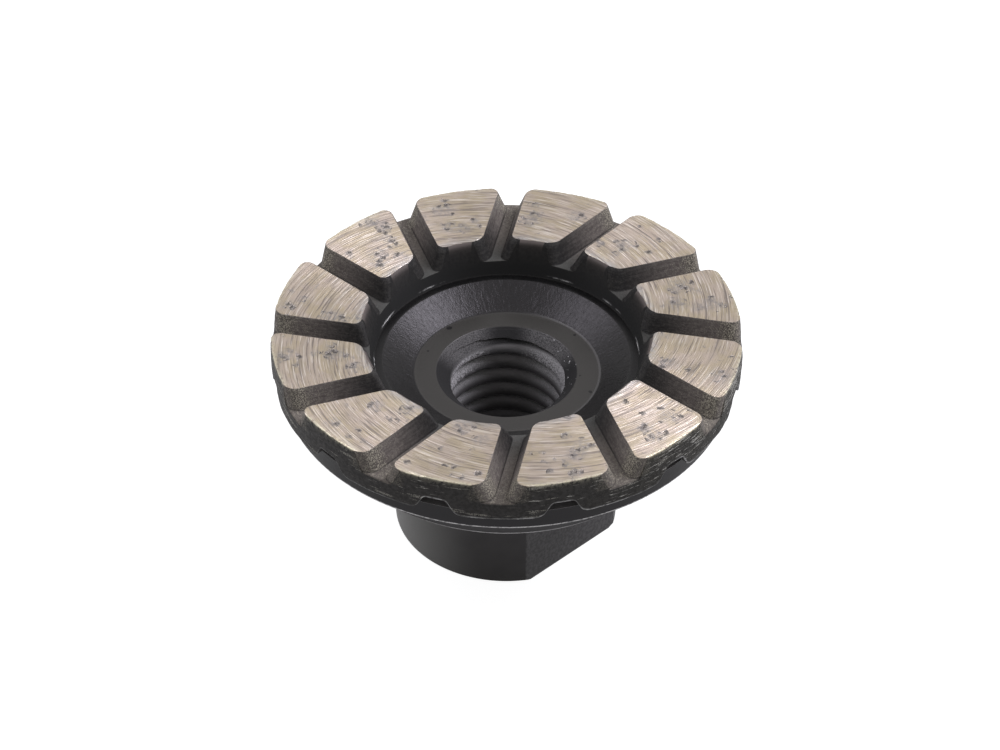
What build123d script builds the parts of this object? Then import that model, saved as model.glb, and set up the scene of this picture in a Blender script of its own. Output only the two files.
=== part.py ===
"""Diamond cup wheel: a steel cup with a threaded hub, and a sintered diamond ring in twelve segments.

The ring is sintered onto the cup's seat, and its skirt hangs over the flange's rim. Twelve teeth on the
rim of the seat stand in pockets of the ring, so that it can't turn on the steel. The slots between the
segments are skewed and drafted.
Millimetres. +Z points along the spindle, out of the grinding face; z = 0 is the hub's seat.
"""

import os
from math import cos, isclose, radians, sin, tan

from build123d import *

# Overall sizes
wheel_diameter = 50.0
wheel_height = 25.8

# Diamond ring
ring_height = 3.95
ring_skirt_drop = 0.6
ring_face_width = 9.45
ring_inner_draft = 1.45
ring_inner_chamfer = 0.3
segment_count = 12
segment_corner_radius = 0.9

# Slots between the segments
slot_width = 3.0
slot_depth = 2.35
slot_draft_angle = 22.0
slot_offset = 4.15
slot_direction = 5.5

# Teeth that key the ring to the cup
tooth_width = 4.3
tooth_height = 1.9
tooth_side_angle = 63.0
tooth_depth = 2.0

# Cup
skirt_overhang = 0.9
flange_thickness = 2.55
ledge_width = 0.75
cup_depth = 2.0
cup_floor_diameter = 20.0
back_bevel_width = 5.0
back_bevel_height = 5.5

# Hub, with an M14 x 2 thread for the spindle
hub_diameter = 24.6
hub_root_radius = 0.8
hub_edge_chamfer = 0.3
wrench_size = 21.0
wrench_clearance = 0.3
wrench_flat_length = 12.0
tap_drill_diameter = 12.0
cup_bore_chamfer = 1.6
spindle_bore_chamfer = 1.5

# How far a cutter runs past the faces that it cuts
cut_margin = 1.0

# Places that follow from the sizes
wheel_radius = wheel_diameter / 2
seat_z = wheel_height - ring_height
skirt_z = seat_z - ring_skirt_drop
flange_radius = wheel_radius - skirt_overhang
flange_bottom_z = seat_z - flange_thickness
back_radius = flange_radius - back_bevel_width
back_z = flange_bottom_z - back_bevel_height
face_inner_radius = wheel_radius - ring_face_width
ring_root_radius = face_inner_radius - ring_inner_draft
cup_mouth_radius = ring_root_radius - ledge_width
cup_floor_radius = cup_floor_diameter / 2
cup_floor_z = seat_z - cup_depth
hub_radius = hub_diameter / 2
bore_radius = tap_drill_diameter / 2
tooth_back_radius = flange_radius - tooth_depth
segment_pitch = 360 / segment_count


def upright_plane(direction, distance, sideways, height):
    """A plane across a horizontal direction, in degrees, that stands at a distance from the axis."""
    along = Vector(cos(radians(direction)), sin(radians(direction)), 0)
    across = Vector(-along.Y, along.X, 0)
    origin = along * distance + across * sideways + Vector(0, 0, height)
    return Plane(origin=origin, x_dir=across, z_dir=along)


tooth_planes = [
    upright_plane(turn * segment_pitch, tooth_back_radius, 0, skirt_z) for turn in range(segment_count)
]
slot_start = ring_root_radius / 2
slot_floor_z = wheel_height - slot_depth
slot_planes = [
    upright_plane(slot_direction + turn * segment_pitch, slot_start, slot_offset, slot_floor_z)
    for turn in range(segment_count)
]


# Steel cup and hub, turned in one piece
with BuildPart() as steel_body:
    with BuildSketch(Plane.XZ) as body_section:
        with BuildLine():
            Polyline(
                (bore_radius, 0),
                (hub_radius, 0),
                (hub_radius, back_z),
                (back_radius, back_z),
                (flange_radius, flange_bottom_z),
                (flange_radius, seat_z),
                (cup_mouth_radius, seat_z),
                (cup_floor_radius, cup_floor_z),
                (bore_radius, cup_floor_z),
                close=True,
            )
        make_face()
        hub_root = body_section.vertices().sort_by_distance((hub_radius, back_z))[0]
        fillet(hub_root, hub_root_radius)
        hub_edge = body_section.vertices().sort_by_distance((hub_radius, 0))[0]
        chamfer(hub_edge, hub_edge_chamfer)
    revolve(axis=Axis.Z)

    # Lead-in at each end of the threaded bore
    bore_rims = steel_body.edges().filter_by(GeomType.CIRCLE)
    bore_rims = bore_rims.filter_by(lambda rim: isclose(rim.radius, bore_radius)).sort_by(Axis.Z)
    chamfer(bore_rims[-1], cup_bore_chamfer)
    chamfer(bore_rims[0], spindle_bore_chamfer)

    # Two flats on the hub for a spanner
    flat_distance = (wrench_size - wrench_clearance) / 2
    with BuildSketch():
        for side in (-1, 1):
            with Locations((side * (flat_distance + hub_radius), 0)):
                Rectangle(2 * hub_radius, 2 * hub_diameter)
    extrude(amount=wrench_flat_length, mode=Mode.SUBTRACT)

    # Teeth on the rim of the seat, turned off flush with the flange
    with BuildSketch(*tooth_planes):
        Trapezoid(tooth_width, tooth_height, tooth_side_angle, align=(Align.CENTER, Align.MIN))
    extrude(amount=tooth_depth + skirt_overhang)
    with BuildSketch(Plane.XY.offset(skirt_z)):
        Circle(wheel_radius + cut_margin)
        Circle(flange_radius, mode=Mode.SUBTRACT)
    extrude(amount=tooth_height + cut_margin, mode=Mode.SUBTRACT)


# Sintered ring, with its segments standing between skewed slots
with BuildPart() as segment_ring:
    inner_draft_top = wheel_height - ring_inner_chamfer
    with BuildSketch(Plane.XZ):
        with BuildLine():
            Polyline(
                (ring_root_radius, seat_z),
                (flange_radius, seat_z),
                (flange_radius, skirt_z),
                (wheel_radius, skirt_z),
                (wheel_radius, wheel_height),
                (face_inner_radius, wheel_height),
                (face_inner_radius - ring_inner_chamfer, inner_draft_top),
                close=True,
            )
        make_face()
    revolve(axis=Axis.Z)

    slot_spread = tan(radians(slot_draft_angle))
    slot_floor_half = slot_width / 2 - slot_depth * slot_spread
    slot_top_half = slot_width / 2 + cut_margin * slot_spread
    slot_cut_height = slot_depth + cut_margin
    with BuildSketch(*slot_planes):
        with BuildLine():
            Polyline(
                (-slot_floor_half, 0),
                (slot_floor_half, 0),
                (slot_top_half, slot_cut_height),
                (-slot_top_half, slot_cut_height),
                close=True,
            )
        make_face()
    extrude(amount=wheel_radius + cut_margin - slot_start, mode=Mode.SUBTRACT)

    # Rounded upright corners of the segments, at both ends of each slot
    corners = segment_ring.edges().filter_by(
        lambda edge: edge.center().Z > slot_floor_z and edge.bounding_box().size.Z > slot_depth / 2
    )
    fillet(corners, segment_corner_radius)

    # Pockets round the cup's teeth, open as notches in the skirt
    with BuildSketch(*tooth_planes):
        Trapezoid(tooth_width, tooth_height, tooth_side_angle, align=(Align.CENTER, Align.MIN))
    extrude(amount=tooth_depth + skirt_overhang + cut_margin, mode=Mode.SUBTRACT)


steel_body.part.label = "steel_body"
segment_ring.part.label = "segment_ring"

os.makedirs("parts", exist_ok=True)
export_step(steel_body.part, "parts/steel_body.step")
export_step(segment_ring.part, "parts/segment_ring.step")
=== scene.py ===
"""Looks of the diamond cup wheel: the sintered ring, the painted steel cup with its thread, and the set.

Lengths are millimetres in the row frame, and become metres when a mesh is made.
"""

import math

import bpy
import numpy as np
from mathutils import Matrix, Vector


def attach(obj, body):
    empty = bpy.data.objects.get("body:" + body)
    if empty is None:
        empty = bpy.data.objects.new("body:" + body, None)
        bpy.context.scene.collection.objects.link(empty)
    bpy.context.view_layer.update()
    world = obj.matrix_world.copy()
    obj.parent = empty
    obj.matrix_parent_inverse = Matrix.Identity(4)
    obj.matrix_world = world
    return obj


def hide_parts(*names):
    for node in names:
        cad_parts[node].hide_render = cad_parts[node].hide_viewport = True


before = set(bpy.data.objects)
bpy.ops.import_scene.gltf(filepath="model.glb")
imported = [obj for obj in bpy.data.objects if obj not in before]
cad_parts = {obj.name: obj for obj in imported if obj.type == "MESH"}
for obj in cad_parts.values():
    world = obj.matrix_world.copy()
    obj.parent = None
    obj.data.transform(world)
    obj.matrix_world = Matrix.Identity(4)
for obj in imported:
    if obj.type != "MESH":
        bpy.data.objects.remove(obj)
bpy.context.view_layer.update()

MM = 0.001

# Sizes of the wheel, the same as the solids have
wheel_radius = 25.0
wheel_top = 25.8
seat_z = 21.85
skirt_low = 21.25
pitch_count = 12
pitch = 2 * math.pi / pitch_count
ring_root_radius = 14.1
face_inner_radius = 15.55
ring_inner_chamfer = 0.3
slot_half_top = 1.5
slot_half_floor = 0.55
slot_floor_z = 23.45
slot_offset = 4.15
slot_direction = math.radians(5.5)
segment_corner = 0.9
tooth_half_foot = 2.15
tooth_half_top = 1.18
tooth_top_z = 23.15
tooth_back_radius = 22.1
flange_radius = 24.1
flange_bottom_z = 19.3
back_radius = 19.1
back_z = 13.8
cup_mouth_radius = 13.35
cup_floor_radius = 10.0
cup_floor_z = 19.85
hub_radius = 12.3
hub_edge_chamfer = 0.3
hub_root_radius = 0.8
flat_distance = 10.35
flat_top_z = 12.0
bore_radius = 6.0
cup_chamfer = 1.6
spindle_chamfer = 1.5
thread_pitch = 2.0
thread_crest_radius = 5.95
thread_depth = 0.95
thread_crest_share = 0.3

# Fine forms that only the photograph gives
lip_z = 22.3
lip_step = 0.08
lip_drops = (0.03, 0.08, 0.14, 0.22, 0.3)
top_edge_round = 0.06
outer_corner = 1.2
slot_floor_corner = 0.22
notch_corner = 0.75
notch_top_corner = 0.4
rim_bulge = 0.12
skirt_edge_top = 0.18
skirt_edge_rows = ((0.09, 0.01), (0.04, 0.05), (0.01, 0.1), (0.0, skirt_edge_top))
face_wave = 0.02
chip_depth = 0.12
jag_depth = 0.09
score_depth = 0.03
lump_height = 0.06
tooth_face_top_z = 21.45
tooth_recess = 1.4
hub_edge_round = 0.05
flange_edge_round = 0.14
mouth_edge_round = 0.16
cup_root_round = 0.35
bore_edge_round = 0.12
thread_flank_curve = 1.6
thread_wear = 0.03

# Clusters of pits on each segment: how many, how far along it, at what radius and how wide
cluster_count = (3, 7)
cluster_along = (0.08, 0.92)
cluster_radius = (16.4, 24.0)
cluster_reach = (0.6, 1.5)

# How finely the meshes are cut
segment_columns = 38
notch_gap_columns = 4
face_rows = 36
inner_rows = 11
outer_rows = 26
pitch_cells = 24
bore_row_gap = 0.1

# How far from a tooth's middle the cup's columns follow it, and where the hub's seat starts to follow the flats
tooth_column_end = 3.2
hub_seat_inner = 8.0

# The distance between two rows that make a step, and a length that counts as none
step_gap = 0.05
tiny = 1e-6

# A level direction across the wheel, from the camera's left to its right; the lamps stand towards its two ends,
# and the painted glints and highlights on the ring and the thread grow towards them, as do the rim's lumps and
# scratches
side_axis = np.array([0.685, 0.729])

rng = np.random.default_rng(41)
lattice_size = 32
lattice = rng.random((lattice_size,) * 3)


def noise(x, y, z):
    """Smooth noise from -1 to 1 at points given in cells of a repeating lattice."""
    spots = [np.asarray(v, float) for v in np.broadcast_arrays(x, y, z)]
    cells = [np.floor(v).astype(int) for v in spots]
    parts = [v - c for v, c in zip(spots, cells)]
    parts = [f * f * (3 - 2 * f) for f in parts]
    total = np.zeros(spots[0].shape)
    for corner in np.ndindex(2, 2, 2):
        weight = np.ones(spots[0].shape)
        for step, part in zip(corner, parts):
            weight = weight * (part if step else 1 - part)
        place = tuple((c + step) % lattice_size for c, step in zip(cells, corner))
        total += weight * lattice[place]
    return 2 * total - 1


def rough(x, y, z, octaves=3):
    """Several octaves of noise, each twice as fine and half as strong."""
    return sum(noise(x * 2**k + 7 * k, y * 2**k + 3 * k, z * 2**k + 5 * k) / 2**k for k in range(octaves))


def rounded(corners, steps=4, longest=1.0):
    """A polyline through (x, y, reach) corners, each rounded over its reach, with no part longer than asked."""
    spots = [np.array(c[:2], float) for c in corners]
    line = [spots[0]]
    for before, here, after, corner in zip(spots, spots[1:], spots[2:], corners[1:]):
        reach = corner[2]
        if not reach:
            line.append(here)
            continue
        start = here + (before - here) / np.linalg.norm(before - here) * reach
        end = here + (after - here) / np.linalg.norm(after - here) * reach
        for t in np.linspace(0, 1, steps + 1):
            line.append((1 - t) ** 2 * start + 2 * t * (1 - t) * here + t * t * end)
    line.append(spots[-1])
    full = [line[0]]
    for a, b in zip(line, line[1:]):
        count = max(1, math.ceil(np.linalg.norm(b - a) / longest - tiny))
        full += [a + (b - a) * k / count for k in range(1, count + 1)]
    return np.array(full)


def blend_in(low, high, value):
    """A smooth step from 0 to 1 as a value goes from low to high."""
    t = np.clip((value - low) / (high - low), 0, 1)
    return t * t * (3 - 2 * t)


def ring_mesh(name, grid, fields, sharp):
    """A mesh from a grid of points, closed both ways, with float fields on its points and a sharp angle."""
    rows, columns = grid.shape[:2]
    mesh = bpy.data.meshes.new(name)
    index = np.arange(rows * columns).reshape(rows, columns)
    right = np.roll(index, -1, 1)
    faces = np.stack([index, right, np.roll(right, -1, 0), np.roll(index, -1, 0)], -1).reshape(-1, 4)
    mesh.from_pydata((grid.reshape(-1, 3) * MM).tolist(), [], faces.tolist())
    for field, values in fields.items():
        layer = mesh.attributes.new(field, "FLOAT", "POINT")
        layer.data.foreach_set("value", np.array(np.broadcast_to(values, index.shape), np.float32).ravel())
    mesh.polygons.foreach_set("use_smooth", [True] * len(mesh.polygons))
    mesh.set_sharp_from_angle(angle=math.radians(sharp))
    mesh.update()
    piece = bpy.data.objects.new(name, mesh)
    bpy.context.scene.collection.objects.link(piece)
    return piece


def polar(radius, angle, z):
    """Points from radius, angle and height, which may be arrays of one shape."""
    radius, angle, z = np.broadcast_arrays(radius, angle, z)
    return np.stack([radius * np.cos(angle), radius * np.sin(angle), z], -1)


def whole(half):
    """Both coordinates of a section from end to end, where half of it is given from its middle on."""
    return np.concatenate([half[::-1] * (-1, 1), half[1:]]).T


def corner_flare(depth, corner):
    """How far a segment's rounded corner stands back from its side, at a depth from the corner's end."""
    inside = np.clip(corner - depth, 0, corner)
    return corner - np.sqrt(corner**2 - inside**2)


# The ring's inner wall, from the seat up to the grinding face
wall_z = np.array([seat_z, wheel_top - ring_inner_chamfer, wheel_top])
wall_radius = np.array([ring_root_radius, face_inner_radius - ring_inner_chamfer, face_inner_radius])


def inner_wall(z):
    """Radius of the ring's inner wall at a height."""
    return np.interp(z, wall_z, wall_radius)


# Half a slot's section, from the middle of its floor to the grinding face beside it
slot_side = rounded(
    [
        (0, slot_floor_z, 0),
        (slot_half_floor, slot_floor_z, slot_floor_corner),
        (slot_half_top, wheel_top, top_edge_round),
        (slot_half_top + 2 * top_edge_round, wheel_top, 0),
    ],
    steps=3,
    longest=0.3,
)
slot_edge = slot_side[-1, 0]
half_columns = len(slot_side) - 1

# Columns of one pitch: slot floor and sides, then the segment up to the next slot
slot_s, slot_z = whole(slot_side)
column_s = np.tile(np.append(slot_s, np.zeros(segment_columns - 1)), pitch_count)
column_z = np.tile(np.append(slot_z, np.full(segment_columns - 1, wheel_top)), pitch_count)
segment_t = np.arange(1, segment_columns) / segment_columns
column_t = np.tile(np.append(np.zeros(len(slot_s)), segment_t), pitch_count)
in_segment = column_t > 0
pitch_columns = len(slot_s) + len(segment_t)
column_pitch = np.repeat(np.arange(pitch_count), pitch_columns)
column_number = np.tile(np.arange(pitch_columns), pitch_count)


def slot_angle(number, s, radius):
    """Angle of a point beside a slot's middle line, at a radius."""
    return slot_direction + number * pitch + np.arcsin((slot_offset + s) / radius)


def column_angle(radius, depth, corner=segment_corner):
    """Angle of each column at a radius, where the nearest end of the slots is a depth away."""
    flare = corner_flare(depth, corner)
    floor_part = np.minimum(np.abs(column_s) / slot_half_floor, 1)
    beside = slot_angle(column_pitch, column_s + np.sign(column_s) * flare * floor_part, radius)
    edge = slot_edge + flare
    first = slot_angle(column_pitch, edge, radius)
    last = slot_angle(column_pitch + 1, -edge, radius)
    return np.where(in_segment, first + (last - first) * column_t, beside)


# The skirt's lower edge over one pitch, with a notch for the cup's tooth
notch_half = rounded(
    [
        (0, tooth_top_z, 0),
        (tooth_half_top, tooth_top_z, notch_top_corner),
        (tooth_half_foot, skirt_low, notch_corner),
        (tooth_half_foot + 2 * notch_corner, skirt_low, 0),
    ],
    steps=4,
    longest=0.36,
)
notch_x, notch_z = whole(notch_half)
notch_first = 2 * half_columns + notch_gap_columns
notch_columns = notch_first + np.arange(len(notch_x))
skirt_number = np.concatenate([[0, 2 * half_columns], notch_columns, [pitch_columns]])


def skirt_angle(radius):
    """Angle of each column at the ring's lower edge, where columns follow the notches' sides."""
    edge = slot_edge + outer_corner
    left = slot_angle(0, -edge, wheel_radius)
    right = slot_angle(0, edge, wheel_radius)
    middle = pitch + np.arcsin(notch_x / radius)
    knots = np.concatenate([[left, right], middle, [left + pitch]])
    return np.interp(column_number, skirt_number, knots) + column_pitch * pitch


skirt_z = np.interp(column_number, skirt_number, np.concatenate([[skirt_low] * 2, notch_z, [skirt_low]]))

rows = []


def add_row(radius, angle, z, **fields):
    """Keeps one row of a piece's grid and what its finish needs to know."""
    radius, angle, z = np.broadcast_arrays(radius, angle, z)
    rows.append((radius, angle, z, fields))


def stacked_places():
    """Radius, angle and height of every point of the rows so far."""
    return (np.stack([row[part] for row in rows]) for part in range(3))


def stacked(field, missing):
    """One of the rows' fields on every point, with a value for the rows that lack it."""
    return np.stack([np.broadcast_to(row[3].get(field, missing), row[0].shape) for row in rows])


# The grinding face and slots, from the outside in
face_end = inner_wall(column_z)
corner_steps = 1 - np.sin(np.radians(np.arange(90, -1, -10)))
full_width = wheel_radius - face_end
for step in corner_steps[:-1] * outer_corner:
    radius = wheel_radius - step
    add_row(radius, column_angle(radius, step, outer_corner), column_z, kind="face", depth=step)
for k in range(face_rows + 1):
    depth = outer_corner + (full_width - outer_corner - segment_corner) * k / face_rows
    radius = wheel_radius - depth
    edge_depth = np.minimum(depth, full_width - depth)
    add_row(radius, column_angle(radius, segment_corner), column_z, kind="face", depth=edge_depth)
for step in corner_steps[-2::-1] * segment_corner:
    radius = face_end + step
    add_row(radius, column_angle(radius, step), column_z, kind="face", depth=step)

# The inner wall, down to the seat, with a fine lip where the bond meets the steel
chamfer_share = ring_inner_chamfer / (wheel_top - lip_z)
chamfer_shares = np.array([0.15, 0.4, 0.7, 1]) * chamfer_share
lower_shares = np.linspace(chamfer_share, 1, inner_rows + 1)[1:]
for share in np.concatenate([chamfer_shares, lower_shares]):
    z = column_z + (lip_z - column_z) * share
    add_row(inner_wall(z), column_angle(inner_wall(z), 0), z, kind="inner")
for drop in lip_drops:
    radius = inner_wall(lip_z - drop)
    add_row(radius, column_angle(radius, 0), lip_z - drop, kind="lip")
add_row(ring_root_radius, column_angle(ring_root_radius, 0), seat_z, kind="under")

# The underside, with the pockets for the teeth
halfway = 18.0
add_row(halfway, (column_angle(halfway, 0) + skirt_angle(halfway)) / 2, seat_z, kind="under")
add_row(tooth_back_radius - step_gap, skirt_angle(tooth_back_radius), seat_z, kind="under")
pocket_z = np.maximum(skirt_z, seat_z)
add_row(tooth_back_radius + step_gap, skirt_angle(tooth_back_radius), pocket_z, kind="under")
for radius in (23.1, flange_radius - 0.02):
    add_row(radius, skirt_angle(radius), pocket_z, kind="under")
for radius in (flange_radius + 0.02, 24.5, wheel_radius - 0.15):
    add_row(radius, skirt_angle(radius), skirt_z, kind="under")
for back, up in skirt_edge_rows:
    add_row(wheel_radius - back, skirt_angle(wheel_radius), skirt_z + up, kind="rim", low=up)

# The outer wall, up to the grinding face
low_angle = skirt_angle(wheel_radius)
top_angle = column_angle(wheel_radius, 0, outer_corner)
wall_foot = skirt_z + skirt_edge_top
for share in np.arange(1, outer_rows) / outer_rows:
    z = wall_foot + (column_z - top_edge_round - wall_foot) * share
    add_row(wheel_radius, low_angle + (top_angle - low_angle) * share, z, kind="rim", low=z - skirt_z)

radius, angle, z = stacked_places()
kinds = np.array([row[3]["kind"] for row in rows])
is_face = (kinds == "face")[:, None]
is_rim = (kinds == "rim")[:, None]
is_inner = (kinds == "inner")[:, None]
is_lip = (kinds == "lip")[:, None]
depth = stacked("depth", 0.0)
low = stacked("low", wheel_top)

# Where the grinding face is, how far each point of it is from an edge, a number of each segment's own that
# keeps its noise apart from the next one's, and where the pits crowd
on_top = is_face & (column_z > wheel_top - tiny)[None, :]
x, y = radius * np.cos(angle), radius * np.sin(angle)
arc = angle * wheel_radius
across = x * side_axis[0] + y * side_axis[1]
# How far a point lies towards the camera's right: the rim and the slot floors are darker there, and the rim's
# grains and scratches brighter, partly as painted glints
right_side = blend_in(2, 20, across)
segment_width = 8.0
from_side = np.where(in_segment, np.minimum(column_t, 1 - column_t) * segment_width, 0)[None, :]
edge_distance = np.where(is_face, np.minimum(depth, from_side), 0)
outer_distance = wheel_radius - radius
own_number = np.broadcast_to(column_pitch, z.shape) / 7.31
crowd = np.zeros(z.shape)
for number in range(pitch_count):
    for _ in range(rng.integers(*cluster_count)):
        centre_t = rng.uniform(*cluster_along)
        centre_r = rng.uniform(*cluster_radius)
        reach = rng.uniform(*cluster_reach)
        first = slot_angle(number, slot_edge, centre_r)
        centre_angle = first + (slot_angle(number + 1, -slot_edge, centre_r) - first) * centre_t
        away = np.hypot((angle - centre_angle) * radius, radius - centre_r) / reach
        crowd = np.maximum(crowd, blend_in(1.3, 0.3, away))
crowd *= on_top

# How gritty the slots' outer ends are, and the outer wall beside them
grit_on_rim = np.exp(-from_side / 0.25) * blend_in(slot_floor_z, slot_floor_z + 0.5, z) * 0.3
grit_in_slot = blend_in(2.8, 1.3, outer_distance) * (0.3 + 0.7 * blend_in(0.1, 0.7, outer_distance))
beside_slot = np.where(is_rim, grit_on_rim, np.where(is_face & ~on_top, grit_in_slot, 0))

# Fine unevenness: a wavy face, chipped edges, and a bulged outer wall with lumps and scores
round_drop = np.clip(top_edge_round - depth, 0, top_edge_round)
edge_drop = top_edge_round - np.sqrt(top_edge_round**2 - round_drop**2)
z = z - np.where(is_face, edge_drop, 0)
z = z + np.where(on_top, face_wave * rough(x / 2.2, y / 2.2, 1.5), 0)
chips = np.clip(rough(x * 1.1, y * 1.1, 4.5) - 0.35, 0, 1) * np.exp(-edge_distance / 0.12)
z = z - np.where(on_top, chip_depth * chips, 0)
jag = np.clip(rough(arc / 0.7, 0.5, 8.5) + 0.1, 0, 1.3)
edge_gap = np.where(is_face, outer_distance, wheel_top - z + 0.02)
jagged = (on_top | is_rim) & in_segment[None, :]
radius = radius - np.where(jagged, jag_depth * jag * np.exp(-edge_gap / 0.4), 0)
rise = np.clip((z - skirt_low) / (wheel_top - skirt_low), 0, 1)
score = rough(arc / 2.4, z / 0.22, 2.5, 2)
lumps = rough(arc / 1.5, z / 1.2, 6.5)
radius = radius + np.where(is_rim, rim_bulge * np.sin(math.pi * rise), 0)
worn_away = score_depth * np.clip(score, -0.5, 1.4) + lump_height * right_side * lumps
radius = radius - np.where(is_rim, worn_away, 0)

# Places on the lip that shine, whose colour is a painted glint: below the slots' inner ends and towards both
# ends of the side axis, where the lamps stand; there the lip also stands out a little
slot_end = slot_direction + np.arcsin(slot_offset / ring_root_radius)
from_slot_end = (angle - slot_end + pitch / 2) % pitch - pitch / 2
shine = np.exp(-((from_slot_end * ring_root_radius / 1.3) ** 4)) * blend_in(3, 8, np.abs(across))
shine *= np.where(is_lip, blend_in(0, 0.08, lip_z - z) * blend_in(0.24, 0.14, lip_z - z), 0)
shine *= blend_in(-0.7, 0.1, rough(arc / 0.6, 3.5, 1.5)) * blend_in(-0.6, 0.0, rough(arc / 0.2, z / 0.1, 5.5))
radius = radius - lip_step * shine

ring = ring_mesh(
    "ring_looks",
    polar(radius, angle, z),
    {
        "face": on_top * 1.0,
        "floor": (is_face & (column_z < slot_floor_z + 0.05)[None, :]) * 1.0,
        "rim": is_rim * 1.0,
        "inner": (is_inner | is_lip) * 1.0,
        "chamfer": np.where(is_inner, np.exp(-(column_z - z) / 0.35) * in_segment[None, :], 0),
        "burr_and_glint": np.where(jagged, np.exp(-edge_gap / 0.20), 0),
        "low_edge_highlight": np.where(is_rim, blend_in(0.30, 0.10, low), 0),
        "beside_slot": beside_slot,
        "crowd": crowd,
        "segment": own_number,
        "shine": shine,
        "right_side": right_side,
    },
    sharp=32,
)

# The steel cup: outside and cup as one turned section, from the spindle side round to the bore's lead-in
turned = rounded(
    [
        (bore_radius + spindle_chamfer, 0, 0),
        (hub_radius - hub_edge_chamfer, 0, 0.04),
        (hub_radius, hub_edge_chamfer, hub_edge_round),
        (hub_radius, flat_top_z, 0),
        (hub_radius, flat_top_z + step_gap, 0),
        (hub_radius, back_z, hub_root_radius),
        (back_radius, back_z, flange_edge_round),
        (flange_radius, flange_bottom_z, flange_edge_round),
        (flange_radius, tooth_face_top_z - 0.08, 0),
    ],
    steps=4,
    longest=0.9,
)
dished = rounded(
    [
        (tooth_back_radius - step_gap, seat_z, 0),
        (cup_mouth_radius, seat_z, mouth_edge_round),
        (cup_floor_radius, cup_floor_z, cup_root_round),
        (bore_radius + cup_chamfer, cup_floor_z, bore_edge_round),
        (bore_radius + cup_chamfer - 0.2, cup_floor_z - 0.2, 0),
    ],
    steps=5,
    longest=0.5,
)

# Columns of the cup; on the seat they follow the teeth's sides
tooth_half_seat = np.interp(seat_z, [skirt_low, tooth_top_z], [tooth_half_foot, tooth_half_top])
tooth_half = rounded(
    [
        (0, tooth_top_z, 0),
        (tooth_half_top, tooth_top_z, 0),
        (tooth_half_seat, seat_z, 0),
        (tooth_column_end, seat_z, 0),
    ],
    longest=0.8,
)
tooth_x, tooth_z = whole(tooth_half)
cell = np.arange(pitch_cells * pitch_count)
cell_angle = cell * pitch / pitch_cells - pitch / 2
cell_number = cell % pitch_cells
tooth_cells = pitch_cells // 2 - (len(tooth_x) - 1) // 2 + np.arange(len(tooth_x))
tooth_knots = np.concatenate([[0], tooth_cells, [pitch_cells]])


def tooth_angle(at_radius):
    """Angle of each column of the cup's seat, where columns follow the teeth's sides."""
    knots = np.concatenate([[-pitch / 2], np.arcsin(tooth_x / at_radius), [pitch / 2]])
    return np.interp(cell_number, tooth_knots, knots) + (cell // pitch_cells) * pitch


seat_height = np.interp(cell_number, tooth_knots, np.concatenate([[seat_z], tooth_z, [seat_z]]))

# Columns of the hub, shifted a little so that one falls on each end of the flats
flat_end = math.acos(flat_distance / hub_radius)
hub_angle = cell_angle.copy()
for end in (flat_end, math.pi - flat_end, math.pi + flat_end, 2 * math.pi - flat_end, -flat_end):
    nearest = np.argmin(np.abs(cell_angle - end))
    if abs(cell_angle[nearest] - end) < pitch / pitch_cells:
        hub_angle[nearest] = end
flat_radius = flat_distance / np.maximum(np.abs(np.cos(hub_angle)), tiny)

# Rows of the turned section: on the seat they are drawn in towards the flats, so that none of them meet there
seat_share = np.minimum(1, flat_radius / (hub_radius - hub_edge_chamfer + step_gap))
rows = []
for at_radius, at_z in turned:
    if at_z <= tiny:
        add_row(at_radius * (seat_share if at_radius > hub_seat_inner else 1), hub_angle, at_z)
    elif at_z <= flat_top_z + tiny:
        add_row(np.minimum(at_radius, flat_radius), hub_angle, at_z)
    else:
        add_row(at_radius, hub_angle if at_z < back_z - hub_root_radius - 0.1 else cell_angle, at_z)

# The flange's rim with the hollows in front of the teeth, the seat with the teeth, and the dished inside
face_height = np.minimum(seat_height, tooth_face_top_z)
add_row(flange_radius, tooth_angle(flange_radius), face_height)
add_row(flange_radius - tooth_recess, tooth_angle(flange_radius), face_height)
add_row(flange_radius - tooth_recess - step_gap, tooth_angle(flange_radius), seat_height)
add_row(tooth_back_radius + step_gap, tooth_angle(tooth_back_radius), seat_height)
for k, (at_radius, at_z) in enumerate(dished):
    add_row(at_radius, tooth_angle(tooth_back_radius) if k == 0 else cell_angle, at_z)

# The bore: even rows, whose points near an edge of the thread are moved onto it
bore_z = np.arange(cup_floor_z - 0.3, step_gap, -bore_row_gap)
bore_rows = np.repeat(bore_z[:, None], len(cell), 1)
turn_share = cell_angle / (2 * math.pi)
for knot in (0.0, thread_crest_share):
    for turn in range(-2, math.ceil(cup_floor_z / thread_pitch) + 2):
        edge_z = (turn_share + knot + turn) * thread_pitch
        nearest = np.rint((bore_z[0] - edge_z) / bore_row_gap).astype(int)
        inside = (nearest > 0) & (nearest < len(bore_z) - 1)
        bore_rows[nearest[inside], np.flatnonzero(inside)] = edge_z[inside]
phase = (bore_rows / thread_pitch - turn_share[None, :]) % 1
flank = np.interp(phase, [0, thread_crest_share, 1], [1, 0, 1])
cut = flank**thread_flank_curve
wear = np.clip(rough(cell_angle[None, :] * 3.2, bore_rows * 1.4, 9.5), 0, 1)
thread_radius = thread_crest_radius + thread_depth * cut + thread_wear * wear * (1 - cut)
cup_end = bore_radius + cup_chamfer - (cup_floor_z - bore_rows)
spindle_end = bore_radius + spindle_chamfer - bore_rows
bore_surface = np.maximum(thread_radius, np.maximum(cup_end, spindle_end))
for at_radius, at_z, at_flank in zip(bore_surface, bore_rows, flank):
    add_row(at_radius, cell_angle, at_z, bore=1.0, flank=at_flank)

body = ring_mesh(
    "body_looks",
    polar(*stacked_places()),
    {
        "bore": stacked("bore", 0.0),
        "flank": stacked("flank", 0.0),
    },
    sharp=28,
)


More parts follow.
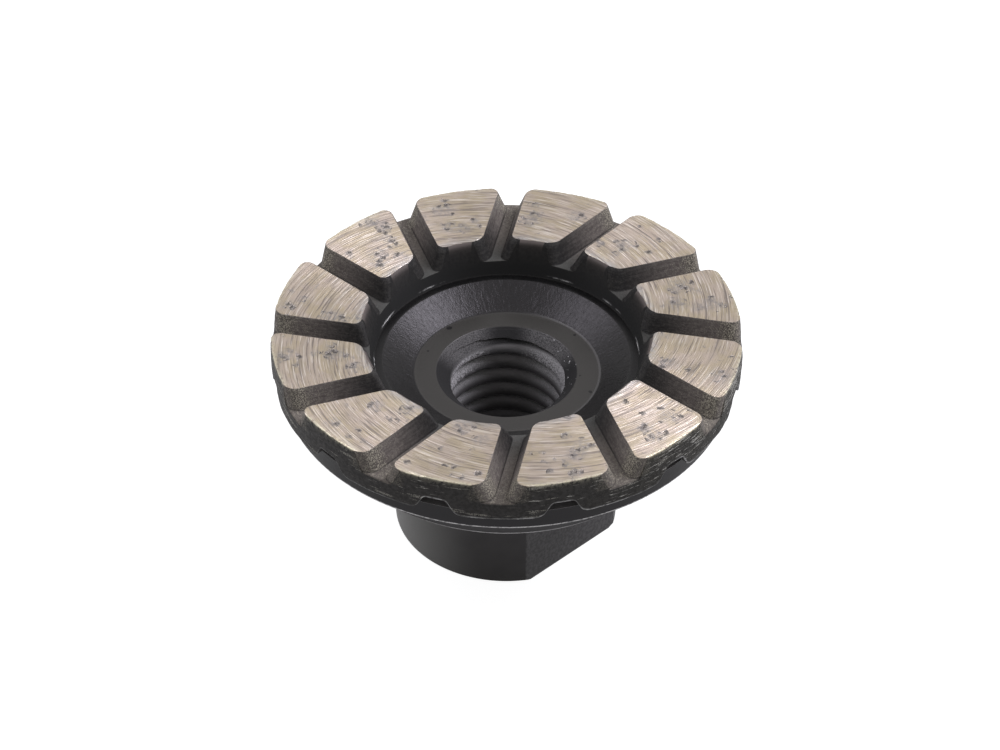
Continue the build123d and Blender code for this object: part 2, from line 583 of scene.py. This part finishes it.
class Nodes:
    """A node tree, with a method for each kind of node that is used."""

    def __init__(self, tree):
        self.tree = tree

    def put(self, value, socket):
        """Links a socket to an output, or sets it to a plain value."""
        if isinstance(value, bpy.types.NodeSocket):
            self.tree.links.new(value, socket)
        else:
            socket.default_value = value

    def math(self, operation, first, second=0.0):
        node = self.tree.nodes.new("ShaderNodeMath")
        node.operation = operation
        self.put(first, node.inputs[0])
        self.put(second, node.inputs[1])
        return node.outputs[0]

    def plus(self, first, second):
        return self.math("ADD", first, second)

    def minus(self, first, second):
        return self.math("SUBTRACT", first, second)

    def times(self, first, second):
        return self.math("MULTIPLY", first, second)

    def over(self, first, second):
        return self.math("DIVIDE", first, second)

    def higher(self, first, second):
        return self.math("MAXIMUM", first, second)

    def magnitude(self, value):
        return self.math("ABSOLUTE", value)

    def rest(self, share):
        """What is left of 1 beside a share."""
        return self.minus(1.0, share)

    def length(self, x, y):
        return self.math("SQRT", self.plus(self.times(x, x), self.times(y, y)))

    def line(self, value, low, high, out_low, out_high):
        """Maps a range onto another in a straight line, and holds the ends."""
        node = self.tree.nodes.new("ShaderNodeMapRange")
        self.put(value, node.inputs["Value"])
        for name, number in (("From Min", low), ("From Max", high), ("To Min", out_low), ("To Max", out_high)):
            node.inputs[name].default_value = number
        return node.outputs["Result"]

    def span(self, value, low, high, out_low=0.0, out_high=1.0):
        """Maps a range onto another in a smooth step, and holds the ends."""
        result = self.line(value, low, high, out_low, out_high)
        result.node.interpolation_type = "SMOOTHSTEP"
        return result

    def split(self, vector):
        node = self.tree.nodes.new("ShaderNodeSeparateXYZ")
        self.put(vector, node.inputs[0])
        return node.outputs

    def join(self, x, y, z):
        node = self.tree.nodes.new("ShaderNodeCombineXYZ")
        for value, socket in zip((x, y, z), node.inputs):
            self.put(value, socket)
        return node.outputs[0]


class Finish(Nodes):
    """A material for one of the wheel's pieces, with places in millimetres and what else its looks need."""

    def __init__(self, name):
        self.material = bpy.data.materials.new(name)
        self.material.use_nodes = True
        super().__init__(self.material.node_tree)
        self.surface = self.tree.nodes["Principled BSDF"]
        place = self.tree.nodes.new("ShaderNodeTexCoord")
        scale = self.tree.nodes.new("ShaderNodeVectorMath")
        scale.operation = "SCALE"
        scale.inputs["Scale"].default_value = 1 / MM
        self.tree.links.new(place.outputs["Object"], scale.inputs[0])
        self.place = scale.outputs[0]
        self.x, self.y, self.z = self.split(self.place)[:3]
        self.reach = self.length(self.x, self.y)
        self.unit_x, self.unit_y = self.over(self.x, self.reach), self.over(self.y, self.reach)
        self.across = self.plus(self.times(self.x, side_axis[0]), self.times(self.y, side_axis[1]))

    def field(self, name):
        """One of the mesh's own fields."""
        node = self.tree.nodes.new("ShaderNodeAttribute")
        node.attribute_name = name
        return node.outputs["Fac"]

    def rolled(self, around, height, along):
        """A vector for noise that follows the way round the spindle, in cells per radian and per millimetre."""
        turned = [self.times(unit, around) for unit in (self.unit_x, self.unit_y)]
        return self.join(*turned, self.times(height, along))

    def noise(self, vector, scale, detail, roughness, distortion=0.0):
        node = self.tree.nodes.new("ShaderNodeTexNoise")
        self.put(vector, node.inputs["Vector"])
        node.inputs["Scale"].default_value = scale
        node.inputs["Detail"].default_value = detail
        node.inputs["Roughness"].default_value = roughness
        node.inputs["Distortion"].default_value = distortion
        return node.outputs["Fac"]

    def warp(self, vector, scale, amount):
        """Moves points about by up to half an amount, so that cells and lines lose their regular shapes."""
        node = self.tree.nodes.new("ShaderNodeTexNoise")
        self.put(vector, node.inputs["Vector"])
        node.inputs["Scale"].default_value = scale
        moved = self.tree.nodes.new("ShaderNodeVectorMath")
        moved.operation = "MULTIPLY_ADD"
        self.put(node.outputs["Color"], moved.inputs[0])
        moved.inputs[1].default_value = (amount,) * 3
        self.put(vector, moved.inputs[2])
        return moved.outputs[0]

    def cells(self, vector, scale):
        """Distance to the nearest point of a random set, and a random number of that point's own."""
        node = self.tree.nodes.new("ShaderNodeTexVoronoi")
        self.put(vector, node.inputs["Vector"])
        node.inputs["Scale"].default_value = scale
        return node.outputs["Distance"], self.split(node.outputs["Color"])[0]

    def zone(self, reaches, heights):
        """Where reach and height are both in their ranges, each given as the values for none and for all."""
        return self.times(self.span(self.reach, *reaches), self.span(self.z, *heights))

    def mix(self, share, first, second):
        """The first colour, with a share of the second."""
        node = self.tree.nodes.new("ShaderNodeMix")
        node.data_type = "RGBA"
        self.put(share, node.inputs["Factor"])
        self.put(first, node.inputs[6])
        self.put(second, node.inputs[7])
        return node.outputs[2]

    def coats(self, color, *coats):
        """A colour under coats of others, each with its share."""
        for share, coat in coats:
            color = self.mix(share, color, coat)
        return color

    def bump(self, height, distance, strength):
        node = self.tree.nodes.new("ShaderNodeBump")
        node.inputs["Distance"].default_value = distance * MM
        node.inputs["Strength"].default_value = strength
        self.put(height, node.inputs["Height"])
        return node.outputs[0]

    def brush(self, amount, turn):
        """Stretches highlights along a direction that is turned from the way round the spindle."""
        node = self.tree.nodes.new("ShaderNodeTangent")
        node.direction_type = "RADIAL"
        node.axis = "Z"
        self.put(node.outputs[0], self.surface.inputs["Tangent"])
        self.surface.inputs["Anisotropic"].default_value = amount
        self.surface.inputs["Anisotropic Rotation"].default_value = turn

    def finish(self, color, roughness, normal, metallic):
        self.put(color, self.surface.inputs["Base Color"])
        self.put(roughness, self.surface.inputs["Roughness"])
        self.put(metallic, self.surface.inputs["Metallic"])
        self.put(normal, self.surface.inputs["Normal"])
        return self.material


def rgb(red, green, blue):
    """A linear colour that hides what is behind it."""
    return (red, green, blue, 1.0)


def near(size, start, end):
    """A range whose two ends are given by their distances from a size of the wheel."""
    return size + start, size + end


def bond_finish():
    """Sintered bond: ground faces with spiral streaks and pits, dark moulded walls, and grit near the rim, with
    painted glints, highlights and shade in places.
    """
    s = Finish("diamond_bond")
    reach, z = s.reach, s.z
    on_face, on_floor, on_inner, on_rim = (s.field(name) for name in ("face", "floor", "inner", "rim"))
    segment, crowd, right_side = (s.field(name) for name in ("segment", "crowd", "right_side"))

    # Streaks that spiral over the grinding face, with their seam in a slot, and grain of three sizes
    seam = math.radians(167)
    turned_x = s.plus(s.times(s.x, -math.cos(seam)), s.times(s.y, -math.sin(seam)))
    turned_y = s.minus(s.times(s.x, math.sin(seam)), s.times(s.y, math.cos(seam)))
    around = s.times(s.math("ARCTAN2", turned_y, turned_x), 20.0)
    spiral = s.minus(reach, s.times(around, 0.17))

    def streaks(length, width):
        level = s.join(s.times(around, 1 / length), s.times(spiral, 1 / width), segment)
        return s.noise(level, 1.0, 2.0, 0.6)

    broad, middle, fine = streaks(7.0, 0.9), streaks(5.5, 0.28), streaks(3.2, 0.13)
    blotch = s.noise(s.place, 0.4, 3.0, 0.6)
    specks = s.noise(s.place, 2.6, 3.0, 0.6)
    grit = s.noise(s.place, 8.0, 2.0, 0.7)

    # Pits, dark as painted shade in their hollows, each with a dark halo
    gap, pick = s.cells(s.warp(s.warp(s.place, 2.0, 0.9), 7.0, 0.25), 1.3)
    picked = s.math("LESS_THAN", pick, s.plus(s.times(crowd, 0.65), 0.05))
    pits = s.times(s.span(gap, 0.50, 0.12), picked)
    halo = s.times(s.span(gap, 0.80, 0.35), picked)

    # The grinding face, paler and cooler near its inner edge as a painted highlight
    inner_highlight = s.span(reach, *near(face_inner_radius, 1.15, 0.05))
    inner_highlight = s.times(inner_highlight, s.span(specks, 0.3, 0.6, 0.2, 0.7))
    face = s.coats(
        rgb(0.405, 0.338, 0.248),
        (s.span(blotch, 0.38, 0.62), rgb(0.435, 0.363, 0.306)),
        (inner_highlight, rgb(0.36, 0.36, 0.37)),
        (s.times(s.span(broad, 0.55, 0.35), 0.3), rgb(0.27, 0.235, 0.20)),
        (s.times(s.span(middle, 0.46, 0.33), 0.8), rgb(0.19, 0.163, 0.147)),
        (s.times(s.span(middle, 0.56, 0.70), 0.7), rgb(0.60, 0.54, 0.475)),
        (s.times(s.span(fine, 0.42, 0.31), 0.75), rgb(0.15, 0.13, 0.118)),
        (s.times(s.span(fine, 0.58, 0.70), 0.75), rgb(0.73, 0.67, 0.615)),
        (s.times(crowd, s.span(specks, 0.35, 0.62, 0.0, 0.55)), rgb(0.25, 0.235, 0.232)),
        (s.times(halo, 0.6), rgb(0.19, 0.18, 0.18)),
        (s.times(pits, s.span(grit, 0.3, 0.5, 0.45, 0.85)), rgb(0.06, 0.053, 0.050)),
    )

    # The slots' walls and floors, paler and grittier towards the rim, with painted shade as a dark line at the
    # walls' foot
    outward = s.span(reach, 15.2, 22.5)
    wall_grain = s.noise(s.join(s.times(reach, 0.5), s.times(z, 5.0), segment), 1.0, 3.0, 0.6)
    wall_grain = s.plus(s.times(wall_grain, 0.6), s.times(specks, 0.4))
    dark_wall = s.mix(outward, rgb(0.022, 0.021, 0.021), rgb(0.126, 0.110, 0.101))
    light_wall = s.mix(outward, rgb(0.038, 0.036, 0.035), rgb(0.190, 0.168, 0.154))
    floor = s.coats(
        rgb(0.064, 0.064, 0.060),
        (right_side, rgb(0.032, 0.032, 0.030)),
        (s.span(reach, 15.0, 20.0), rgb(0.140, 0.123, 0.108)),
        (s.times(s.span(specks, 0.5, 0.35), 0.4), rgb(0.08, 0.07, 0.062)),
    )
    gritty = s.mix(s.span(grit, 0.44, 0.60), rgb(0.085, 0.079, 0.068), rgb(0.50, 0.46, 0.37))
    foot_shade = s.times(s.span(z, *near(slot_floor_z, 0.3, 0.05)), s.rest(on_floor))

    # The inner wall, darker towards its foot as painted shade, with its chamfer and the painted glints on its
    # lip
    inner = s.coats(
        rgb(0.016, 0.015, 0.015),
        (s.span(specks, 0.35, 0.65), rgb(0.024, 0.023, 0.022)),
        (s.span(z, 24.6, 22.6), rgb(0.013, 0.013, 0.013)),
        (s.times(s.field("chamfer"), 0.85), rgb(0.19, 0.16, 0.148)),
        (s.times(s.field("shine"), s.span(grit, 0.34, 0.50)), rgb(0.66, 0.65, 0.64)),
    )

    # The outer wall: dark, and darker towards the right, with bright grains, scuffs and scratches that are
    # partly painted glints, the grains and scratches growing towards the sides, and a painted highlight in
    # patches along its lower edge
    lift = s.plus(s.times(right_side, 0.075), s.times(s.span(z, 22.4, 24.4), 0.035))
    scratch_glint = s.span(s.plus(s.noise(s.rolled(12.0, z, 6.5), 1.0, 4.0, 0.7), lift), 0.655, 0.72)
    far_left = s.span(s.across, -18.0, -24.0)
    grain_glint_share = s.plus(s.plus(s.times(right_side, 0.25), s.times(far_left, 0.6)), 0.05)
    patch = s.noise(s.rolled(6.0, z, 2.4), 1.0, 2.0, 0.5)
    scuff_glint = s.times(s.span(patch, 0.62, 0.68), s.span(grit, 0.42, 0.58))
    patchy = s.times(s.span(specks, 0.3, 0.6, 0.35, 1.0), s.span(s.across, -19.0, -7.0, 0.3, 1.0))
    patchy = s.times(patchy, s.span(s.noise(s.place, 0.5, 1.0, 0.5), 0.38, 0.52, 0.35, 1.0))
    low_edge_highlight = s.times(s.field("low_edge_highlight"), patchy)
    rim = s.coats(
        rgb(0.050, 0.047, 0.045),
        (right_side, rgb(0.028, 0.0265, 0.022)),
        (s.span(specks, 0.62, 0.38, 0.0, 0.45), rgb(0.013, 0.0122, 0.0115)),
        (s.times(s.span(grit, 0.56, 0.68), grain_glint_share), rgb(0.24, 0.235, 0.22)),
        (s.times(scuff_glint, 0.8), rgb(0.40, 0.385, 0.34)),
        (s.times(scratch_glint, 0.9), rgb(0.46, 0.45, 0.42)),
        (low_edge_highlight, rgb(0.46, 0.455, 0.45)),
    )

    # All of them together, with painted shade in the notches' hollows, the slots' gritty ends, and bright burrs
    # on the edges that are partly a painted highlight
    notch_shade = s.times(s.zone((24.6, 24.3), near(tooth_top_z, 0.15, 0.05)), s.span(reach, 20.0, 21.0))
    covered = s.times(on_floor, s.minus(0.9, s.times(right_side, 0.35)))
    beside = s.times(s.field("beside_slot"), s.span(specks, 0.28, 0.52, 0.25, 1.0))
    beside = s.times(beside, s.rest(s.higher(covered, s.times(foot_shade, 0.8))))
    burr_and_glint = s.times(s.field("burr_and_glint"), s.span(specks, 0.37, 0.54))
    color = s.coats(
        dark_wall,
        (s.span(wall_grain, 0.38, 0.62), light_wall),
        (on_floor, floor),
        (s.times(s.span(reach, 18.0, 24.0, 0.03, 0.35), s.span(specks, 0.42, 0.60)), gritty),
        (s.times(foot_shade, s.span(specks, 0.25, 0.45, 0.5, 0.85)), rgb(0.012, 0.011, 0.0105)),
        (on_inner, inner),
        (notch_shade, rgb(0.060, 0.057, 0.056)),
        (on_rim, rim),
        (s.times(beside, 0.8), gritty),
        (on_face, face),
        (s.times(burr_and_glint, 0.9), rgb(0.62, 0.58, 0.44)),
    )

    rough_face = s.span(middle, 0.3, 0.7, 0.48, 0.36)
    rough_wall = s.span(specks, 0.3, 0.7, 0.65, 0.5)
    off_face = s.rest(on_face)
    roughness = s.plus(s.times(rough_face, on_face), s.times(rough_wall, off_face))
    lines = s.minus(s.times(s.plus(middle, s.times(fine, 0.6)), 1.35), pits)
    smooth = s.higher(on_inner, s.times(on_rim, 0.75))
    rugged = s.plus(s.times(grit, s.rest(s.times(smooth, 0.9))), s.times(scratch_glint, s.times(on_rim, 0.3)))
    height = s.plus(s.times(lines, on_face), s.times(rugged, off_face))
    glint = s.times(s.higher(scratch_glint, s.times(low_edge_highlight, 0.7)), on_rim)
    metal = s.higher(s.times(glint, 0.6), s.times(on_face, 0.75))
    s.brush(0.75, 0.25)
    s.surface.inputs["Specular IOR Level"].default_value = 0.15
    return s.finish(color, roughness, s.bump(height, 0.09, 0.8), metal)


def paint_finish():
    """Satin black paint with a blasted grain, worn to bare steel at the flange's corners and in the thread,
    with painted highlights there and painted light and shade on the thread's flanks, the bevel, the ledge, the
    hub's left and the teeth's hollows.
    """
    s = Finish("black_paint")
    reach, z, across = s.reach, s.z, s.across
    inward = s.minus(s.times(s.y, side_axis[0]), s.times(s.x, side_axis[1]))
    off_middle = s.magnitude(across)
    on_bore, flank = s.field("bore"), s.field("flank")
    peel = s.noise(s.place, 2.6, 3.0, 0.6)
    fine = s.noise(s.place, 8.0, 2.0, 0.65)
    cloud = s.span(s.noise(s.place, 0.22, 2.0, 0.5), 0.35, 0.65)
    wrinkle = s.noise(s.rolled(27.0, reach, 1.3), 1.0, 3.0, 0.6, 1.2)
    black = rgb(0.003, 0.003, 0.003)

    # Parts of the cup
    thread_end = cup_floor_z - cup_chamfer
    inside = s.span(z, *near(flange_bottom_z, -0.05, 0.05))
    above_floor = s.span(z, *near(cup_floor_z, -0.15, -0.05))
    shaded_ledge = s.times(s.span(reach, *near(cup_mouth_radius, -0.07, 0.07)), inside)
    annulus = s.times(s.span(reach, *near(cup_floor_radius, 0.05, -0.1)), above_floor)
    on_cone = s.zone(near(cup_mouth_radius, 0.1, -0.1), near(cup_floor_z, 0.02, 0.12))
    on_bevel = s.zone(near(back_radius, -0.15, 0.0), near(flange_bottom_z, 0.3, 0.1))
    on_lead = s.zone(near(bore_radius + cup_chamfer, 0.05, -0.1), near(thread_end, -0.15, 0.15))
    hollow_painted_light = s.zone(near(tooth_back_radius, -0.2, -0.1), near(tooth_face_top_z, -0.06, 0.0))
    on_flat = s.span(s.magnitude(s.x), *near(flat_distance, -0.09, -0.02))
    on_flat = s.times(on_flat, s.span(z, *near(flat_top_z, 0.04, 0.0)))

    # The thread, with painted light and shade on its flanks, brighter towards both sides; its first turns there
    # are pale as scraped steel and as painted highlights, brightest on the crests' edges and on specks at the
    # lead-in's right, and the lead-in is paler on its far side towards both sides
    side = s.span(off_middle, 1.2, 5.0)
    mottle = s.span(fine, 0.32, 0.62, 0.45, 1.0)
    lit = s.times(s.span(flank, 0.12, 0.70), s.span(flank, 0.98, 0.84))
    lit = s.times(lit, s.plus(s.times(side, s.minus(mottle, 1.0)), 1.0))
    lit_band = s.mix(side, rgb(0.125, 0.120, 0.120), rgb(0.30, 0.295, 0.295))
    dim_band = s.mix(side, rgb(0.043, 0.042, 0.042), rgb(0.054, 0.052, 0.052))
    first_turns = s.span(z, *near(thread_end, -2.85, -1.85))
    first_turns = s.times(first_turns, s.span(z, *near(thread_end, -0.05, -0.25)))
    first_turns = s.times(s.times(first_turns, on_bore), side)
    scraped_and_glint = s.times(first_turns, s.span(fine, 0.42, 0.60, 0.1, 0.85))
    crest_edge = s.times(s.span(flank, 0.40, 0.20), first_turns)
    burr_and_glint = s.times(s.times(on_lead, s.span(across, 3.5, 5.5)), s.span(peel, 0.66, 0.69))
    bare_and_glint = s.higher(s.times(crest_edge, s.span(peel, 0.55, 0.60)), burr_and_glint)
    behind = s.times(s.span(inward, 1.0, 4.2), s.span(off_middle, 0.8, 3.6))
    pale_far_lead = s.times(s.times(on_lead, behind), s.span(fine, 0.38, 0.62, 0.25, 0.85))

    # The line round the cup's floor, a painted highlight on the right and painted shade on the left, small
    # holes in the paint, and the flange's corners, worn to bare steel and partly a painted highlight
    line_gap = s.magnitude(s.minus(reach, cup_floor_radius + 0.03))
    line = s.times(s.span(line_gap, 0.17, 0.06), inside)
    holes = s.times(s.span(s.noise(s.place, 1.1, 1.0, 0.5), 0.235, 0.215), above_floor)
    rim_gap = s.length(s.minus(reach, flange_radius), s.minus(z, flange_bottom_z))
    back_gap = s.length(s.minus(reach, back_radius), s.minus(z, back_z))
    corner = s.higher(s.span(rim_gap, 0.18, 0.08), s.span(back_gap, 1.3, 0.5))
    edge_wear_and_highlight = s.times(corner, s.span(peel, 0.35, 0.55, 0.45, 1.0))

    flat = s.mix(s.span(peel, 0.36, 0.64), rgb(0.088, 0.086, 0.086), rgb(0.150, 0.146, 0.146))
    # The cup's inside, with the ledge under the ring black as painted shade
    inner = s.coats(
        rgb(0.0062, 0.0058, 0.0058),
        (cloud, rgb(0.0085, 0.0080, 0.0080)),
        (shaded_ledge, black),
        (annulus, rgb(0.030, 0.0285, 0.0255)),
    )
    # The outside, paler towards the left as painted light and darker on the bevel as painted shade, then the
    # flats, the cup's inside, and the teeth's hollows lightened as painted light
    color = s.coats(
        rgb(0.066, 0.063, 0.063),
        (cloud, rgb(0.080, 0.077, 0.076)),
        (s.span(across, -2.5, -11.5), rgb(0.30, 0.297, 0.285)),
        (on_bevel, rgb(0.024, 0.023, 0.023)),
        (on_flat, flat),
        (inside, inner),
        (hollow_painted_light, rgb(0.26, 0.25, 0.25)),
        (on_bore, s.mix(lit, dim_band, lit_band)),
        (s.times(line, s.span(across, 1.0, 6.0)), rgb(0.065, 0.063, 0.061)),
        (s.times(line, s.span(across, 1.0, -4.0, 0.0, 0.8)), black),
        (holes, black),
        (on_lead, rgb(0.012, 0.012, 0.012)),
        (pale_far_lead, rgb(0.15, 0.145, 0.145)),
        (scraped_and_glint, rgb(0.46, 0.45, 0.455)),
        (s.times(bare_and_glint, 0.9), rgb(0.75, 0.74, 0.75)),
        (edge_wear_and_highlight, rgb(0.58, 0.57, 0.57)),
    )

    matt = s.times(s.higher(on_bevel, on_lead), 0.8)
    roughness = s.higher(s.span(peel, 0.3, 0.7, 0.30, 0.38), matt)
    in_bore = s.times(on_bore, 0.5)
    height = s.plus(s.times(wrinkle, s.times(on_cone, 1.1)), s.times(peel, s.plus(in_bore, 0.12)))
    height = s.plus(height, s.times(fine, s.plus(in_bore, 0.1)))
    metal = s.times(s.higher(bare_and_glint, edge_wear_and_highlight), 0.7)
    s.surface.inputs["Specular IOR Level"].default_value = 0.25
    s.surface.inputs["Specular Tint"].default_value = rgb(1.0, 0.96, 1.0)
    return s.finish(color, roughness, s.bump(height, 0.05, 0.8), metal)


ring.data.materials.append(bond_finish())
body.data.materials.append(paint_finish())

for piece, node, slot in ((ring, "segment_ring", "diamond_bond"), (body, "steel_body", "black_paint")):
    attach(piece, "root")
    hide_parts(node)


def make_floor():
    """A pale floor that the camera sees as white, apart from the wheel's shadow, and whose glow in reflections
    is dimmer close to the spindle as a painted shadow.
    """
    corners = [(x * floor_half, y * floor_half, 0) for x, y in ((-1, -1), (1, -1), (1, 1), (-1, 1))]
    mesh = bpy.data.meshes.new("floor")
    mesh.from_pydata(corners, [], [(0, 1, 2, 3)])
    floor = bpy.data.objects.new("floor", mesh)
    bpy.context.scene.collection.objects.link(floor)
    material = bpy.data.materials.new("floor_white")
    material.use_nodes = True
    n = Nodes(material.node_tree)
    surface = n.tree.nodes["Principled BSDF"]
    surface.inputs["Base Color"].default_value = floor_grey
    surface.inputs["Roughness"].default_value = 1.0
    surface.inputs["Specular IOR Level"].default_value = 0.0
    surface.inputs["Emission Color"].default_value = white
    rays = n.tree.nodes.new("ShaderNodeLightPath").outputs
    place = n.tree.nodes.new("ShaderNodeTexCoord")
    reach = n.tree.nodes.new("ShaderNodeVectorMath")
    reach.operation = "LENGTH"
    n.tree.links.new(place.outputs["Object"], reach.inputs[0])
    mirrored = n.higher(rays["Is Glossy Ray"], rays["Is Transmission Ray"])
    mirrored = n.times(mirrored, n.line(reach.outputs["Value"], *mirror_reach, *mirror_share))
    shown = n.higher(rays["Is Camera Ray"], mirrored)
    n.put(n.line(shown, 0.0, 1.0, 0.0, floor_glow), surface.inputs["Emission Strength"])
    mesh.materials.append(material)


def make_world():
    """Soft pale light from all round, seen by the camera and in reflections as white."""
    world = bpy.data.worlds.new("studio")
    bpy.context.scene.world = world
    world.use_nodes = True
    n = Nodes(world.node_tree)
    background = n.tree.nodes["Background"]
    background.inputs["Color"].default_value = white
    rays = n.tree.nodes.new("ShaderNodeLightPath").outputs
    shown = n.higher(rays["Is Camera Ray"], n.higher(rays["Is Glossy Ray"], rays["Is Transmission Ray"]))
    n.put(n.line(shown, 0.0, 1.0, world_light, 1.0), background.inputs["Strength"])


def direction(azimuth, elevation):
    """The way from the wheel towards an azimuth, 0 at the front and 90 on the right, and an elevation."""
    flat = math.cos(elevation)
    return Vector((math.sin(azimuth) * flat, -math.cos(azimuth) * flat, math.sin(elevation)))


def make_lamp(name, azimuth, power):
    """A soft square lamp that faces the wheel; azimuth 0 is on the camera's side, 90 on its right."""
    light = bpy.data.lights.new(name, "AREA")
    light.shape = "SQUARE"
    light.size = lamp_size
    light.energy = power
    light.color = lamp_color
    lamp = bpy.data.objects.new(name, light)
    bpy.context.scene.collection.objects.link(lamp)
    back = direction(camera_azimuth + math.radians(azimuth), lamp_elevation)
    lamp.location = lamp_target + back * lamp_distance
    lamp.rotation_mode = "QUATERNION"
    lamp.rotation_quaternion = (-back).to_track_quat("-Z", "Y")


def make_camera():
    """The camera, where the photograph's circles put it."""
    back = direction(camera_azimuth, camera_elevation)
    camera_data = bpy.data.cameras.new("camera")
    camera_data.lens = camera_lens
    camera_data.sensor_width = 36.0
    camera_data.clip_start = 0.01
    camera_data.clip_end = 10.0
    camera = bpy.data.objects.new("camera", camera_data)
    bpy.context.scene.collection.objects.link(camera)
    level = (-back).to_track_quat("-Z", "Y").to_matrix()
    turn = Matrix.Rotation(camera_roll, 3, back)
    camera.matrix_world = Matrix.Translation(camera_place) @ (turn @ level).to_4x4()
    bpy.context.scene.camera = camera


# The camera, fitted to the photograph's circles
camera_azimuth = math.radians(46.79)
camera_elevation = math.radians(40.098)
camera_roll = math.radians(0.195)
camera_place = Vector((169.207, -159.913, 215.262)) * MM
camera_lens = 101.753

# The floor and the world; a mirrored floor is dimmer close to the spindle, a painted shadow
white = rgb(1.0, 1.0, 1.0)
floor_half = 0.6
floor_grey = rgb(0.28, 0.28, 0.28)
floor_glow = 0.93
mirror_reach = (0.015, 0.06)
mirror_share = (0.3, 1.0)
world_light = 0.30

# The lamps
lamp_elevation = math.radians(51)
lamp_distance = 1.0
lamp_size = 0.5
lamp_color = (0.98, 0.965, 1.06)
lamp_target = Vector((0, 0, 0.02))

make_camera()
make_floor()
make_world()
make_lamp("key", 104, 9.1)
make_lamp("fill", -104, 3.8)
bpy.context.scene.view_settings.view_transform = "Standard"
